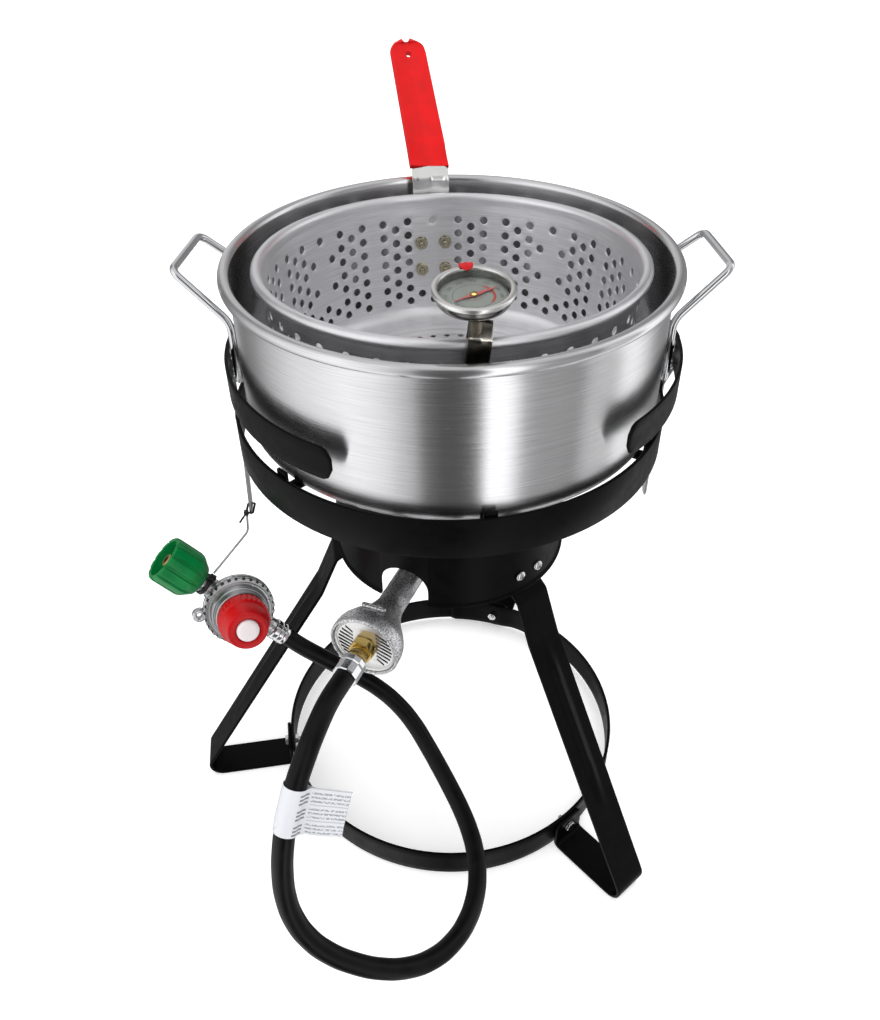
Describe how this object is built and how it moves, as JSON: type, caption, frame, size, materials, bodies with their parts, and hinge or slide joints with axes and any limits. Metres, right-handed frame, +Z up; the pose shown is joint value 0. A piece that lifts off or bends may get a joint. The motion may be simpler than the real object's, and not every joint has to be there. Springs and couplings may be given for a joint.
{
  "type": "turkey fryer kit",
  "caption": "Outdoor gas fryer: black three-legged burner stand with hose and regulator, round aluminium pot, frying basket and dial thermometer.",
  "frame": {"origin": "on the floor under the middle of the cooker's box, the gas line left out", "axes": "+Z up, -Y towards the front, where the thermometer and the burner's air intake are"},
  "size_m": [0.4652, 0.5663, 0.6428],
  "materials": {
    "black_paint": "satin black powder coat",
    "zinc": "bright zinc plated steel",
    "chrome": "polished",
    "aluminium": "brushed around the axis",
    "cast_aluminium": "rough as cast",
    "cast_iron": "dark, rough",
    "brass": "machined",
    "hose_rubber": "smooth, slightly glossy",
    "green_plastic": "moulded",
    "red_plastic": "moulded",
    "white_plastic": "moulded",
    "red_vinyl": "soft dipped vinyl",
    "paper": "printed label and dial",
    "glass": "clear"
  },
  "bodies": {
    "stand": {"base_bolt_back": "chrome", "base_bolt_front_right": "chrome", "base_bolt_left": "chrome", "base_ring": "black_paint", "burner_body": "cast_aluminium", "burner_bracket": "black_paint", "burner_head": "cast_iron", "cable_tie": "hose_rubber", "guard_band": "black_paint", "hanger_wire": "zinc", "hose": "hose_rubber", "hose_ferrule_burner": "chrome", "hose_ferrule_regulator": "chrome", "hose_label": "paper", "inlet_nipple": "brass", "leg_back": "black_paint", "leg_front_right": "black_paint", "leg_left": "black_paint", "leg_screw_back_1": "chrome", "leg_screw_back_2": "chrome", "leg_screw_front_right_1": "chrome", "leg_screw_front_right_2": "chrome", "leg_screw_left_1": "chrome", "leg_screw_left_2": "chrome", "orifice_fitting": "brass", "pot_hoop": "black_paint", "regulator_body": "cast_aluminium", "regulator_cover": "zinc", "strap_bolt_left": "chrome", "strap_bolt_right": "chrome", "strap_left": "zinc", "strap_right": "zinc", "support_arm_1": "black_paint", "support_arm_2": "black_paint", "support_arm_3": "black_paint", "support_arm_4": "black_paint", "support_arm_5": "black_paint", "support_arm_6": "black_paint", "wind_guard": "black_paint"},
    "air_shutter": {"air_shutter": "aluminium"},
    "knob": {"regulator_knob": "red_plastic", "knob_cap": "white_plastic"},
    "coupling_nut": {"coupling_nut": "green_plastic"},
    "pot": {"pot_shell": "aluminium", "pot_handle_left": "chrome", "pot_handle_right": "chrome"},
    "basket": {"basket_shell": "aluminium", "basket_handle": "chrome", "basket_grip": "red_vinyl", "basket_bolt_1": "chrome", "basket_bolt_2": "chrome", "basket_bolt_3": "chrome", "basket_bolt_4": "chrome"},
    "thermometer": {"thermometer_case": "chrome", "thermometer_lens": "glass", "thermometer_dial": "paper", "thermometer_clip": "zinc", "thermometer_stem": "chrome"},
    "needle": {"thermometer_needle": "red_plastic"},
    "marker": {"thermometer_marker": "red_plastic"}
  },
  "joints": [
    {"name": "pot_lift", "type": "slide", "parent": "stand", "child": "pot", "axis": [0, 0, 1], "range_m": [0, 0.35]},
    {"name": "basket_lift", "type": "slide", "parent": "pot", "child": "basket", "axis": [0, 0, 1], "range_m": [0, 0.3]},
    {"name": "thermometer_lift", "type": "slide", "parent": "basket", "child": "thermometer", "axis": [0, 0, 1], "range_m": [0, 0.15]},
    {"name": "needle_turn", "type": "hinge", "parent": "thermometer", "child": "needle", "pos_m": [0.03735, -0.15651, 0.5875], "axis": [0, -0.1045, 0.9945], "range_deg": [-75, 195]},
    {"name": "marker_turn", "type": "hinge", "parent": "thermometer", "child": "marker", "pos_m": [0.03735, -0.15651, 0.5875], "axis": [0, -0.1045, 0.9945], "range_deg": [-150, 150]},
    {"name": "air_shutter_turn", "type": "hinge", "parent": "stand", "child": "air_shutter", "pos_m": [0.02605, -0.02241, 0.305], "axis": [-0.4067, -0.9135, 0], "range_deg": [0, 90]},
    {"name": "knob_turn", "type": "hinge", "parent": "stand", "child": "knob", "pos_m": [-0.16105, -0.08101, 0.2505], "axis": [0.342, -0.8839, 0.319], "range_deg": [0, 720]},
    {"name": "nut_turn", "type": "hinge", "parent": "stand", "child": "coupling_nut", "pos_m": [-0.16447, -0.07217, 0.24731], "axis": [-0.683, -0.0006, 0.7305], "continuous": true}
  ]
}
